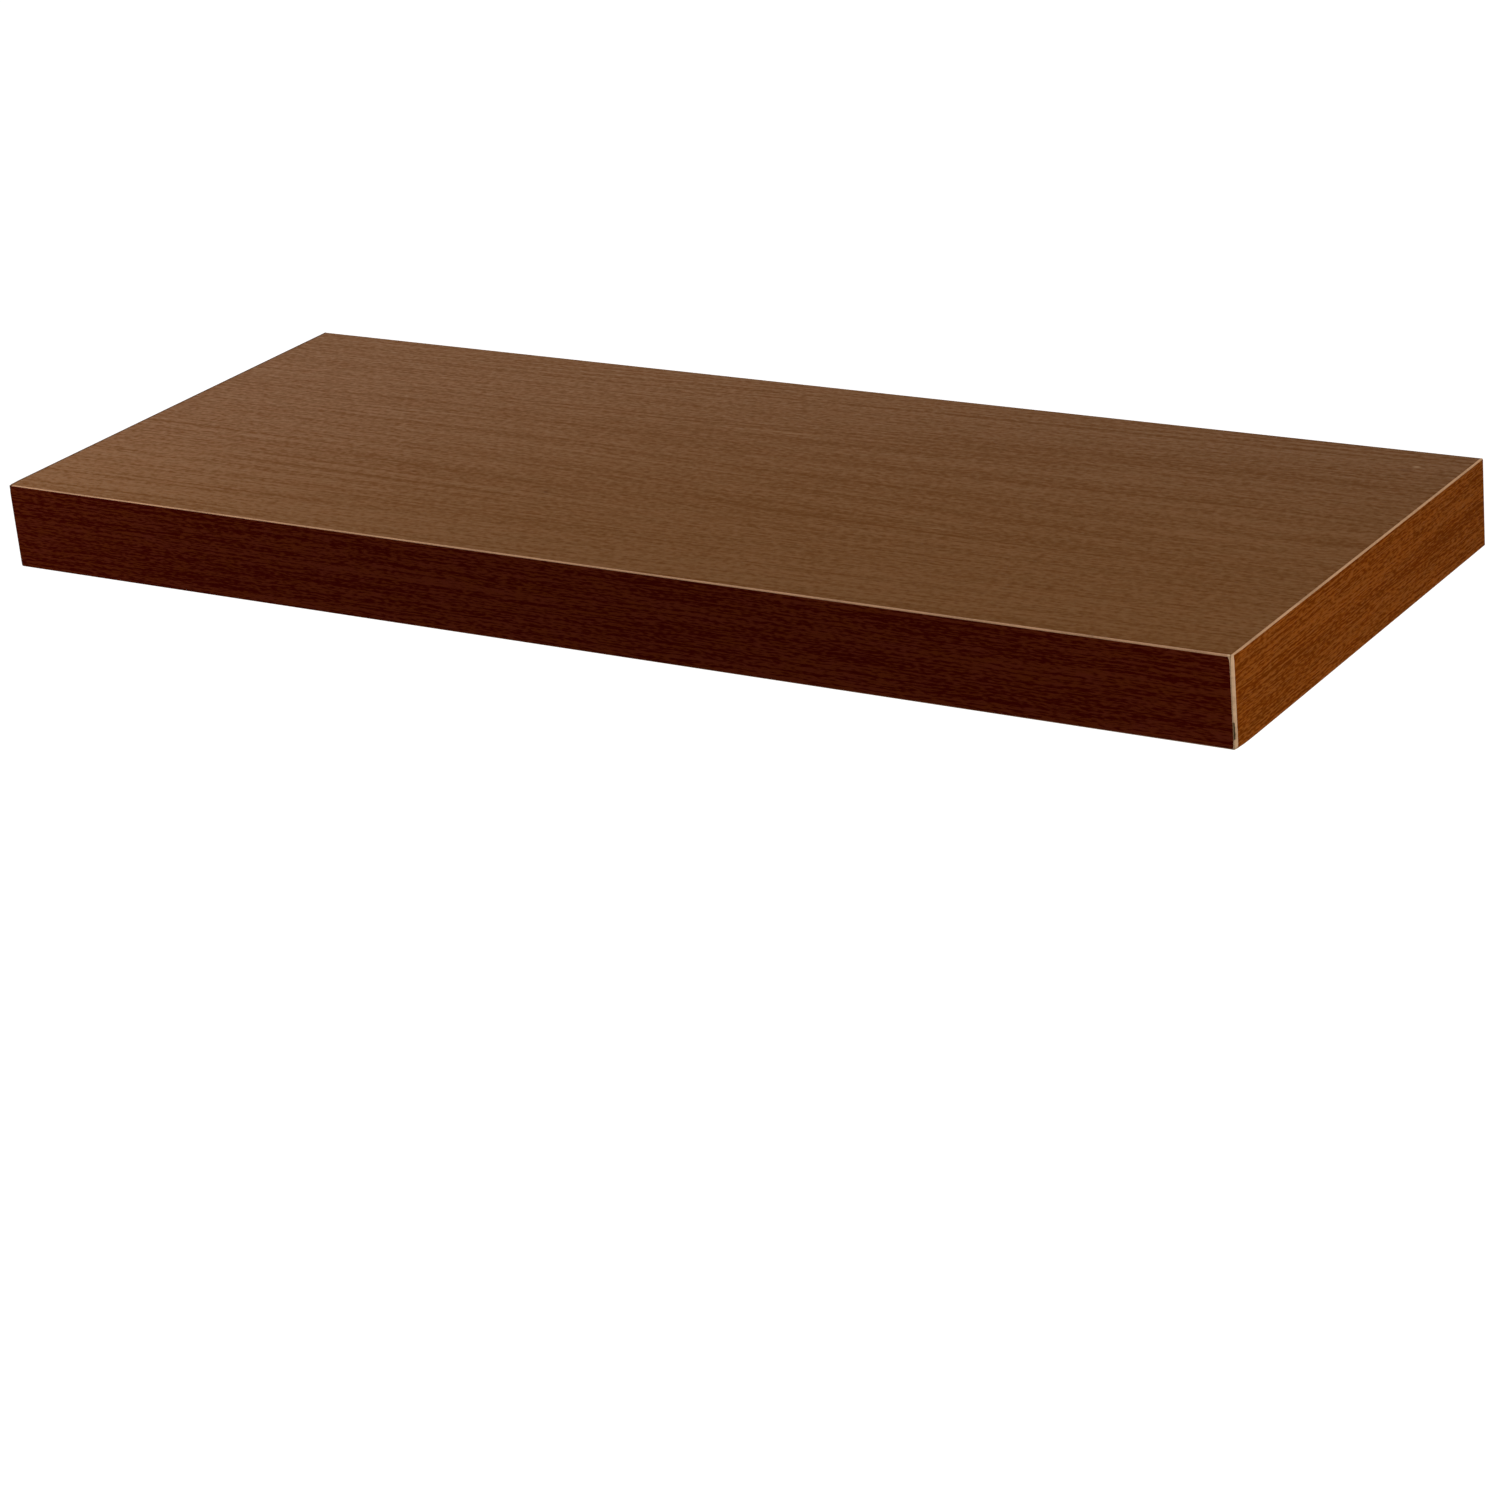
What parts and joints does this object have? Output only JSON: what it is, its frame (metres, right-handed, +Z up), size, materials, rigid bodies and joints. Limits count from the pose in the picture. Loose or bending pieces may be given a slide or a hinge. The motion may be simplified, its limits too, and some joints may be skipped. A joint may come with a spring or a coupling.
{
  "type": "floating wall shelf",
  "caption": "Hollow-core wall shelf with a dark wood-print face that slides onto hidden steel rods on a rail screwed to the wall.",
  "frame": {"origin": "on the wall plane, in the middle of the wall rail's back face, at the middle of the shelf's length and height", "axes": "+X along the shelf, to the right as seen from the room; +Y into the wall; +Z up"},
  "size_m": [0.6, 0.2575, 0.038],
  "materials": {
    "top_foil": "printed wood-grain foil on a thin fibreboard skin, satin",
    "front_foil": "printed wood-grain edge band, dark red brown, satin, with a light core",
    "side_foil": "printed wood-grain edge band, orange brown, satin, with a light core",
    "raw_board": "bare particle board",
    "core_paper": "kraft paper honeycomb",
    "bracket_steel": "zinc-plated steel, satin",
    "screw_steel": "zinc-plated steel, bright",
    "plug_nylon": "grey nylon"
  },
  "bodies": {
    "bracket": {"wall_rail": "bracket_steel", "left_rod": "bracket_steel", "right_rod": "bracket_steel", "wall_screw_1": "screw_steel", "wall_screw_2": "screw_steel", "wall_screw_3": "screw_steel", "wall_screw_4": "screw_steel", "wall_plug_1": "plug_nylon", "wall_plug_2": "plug_nylon", "wall_plug_3": "plug_nylon", "wall_plug_4": "plug_nylon"},
    "shelf": {"top_panel": "top_foil", "bottom_panel": "top_foil", "front_edge_band": "front_foil", "left_edge_band": "side_foil", "right_edge_band": "side_foil", "front_rail": "raw_board", "rear_rail": "raw_board", "left_end_rail": "raw_board", "right_end_rail": "raw_board", "left_guide_block": "raw_board", "right_guide_block": "raw_board", "left_honeycomb": "core_paper", "centre_honeycomb": "core_paper", "right_honeycomb": "core_paper"}
  },
  "joints": [
    {"name": "shelf_slide", "type": "slide", "parent": "bracket", "child": "shelf", "axis": [0, -1, 0], "range_m": [0, 0.145]}
  ]
}
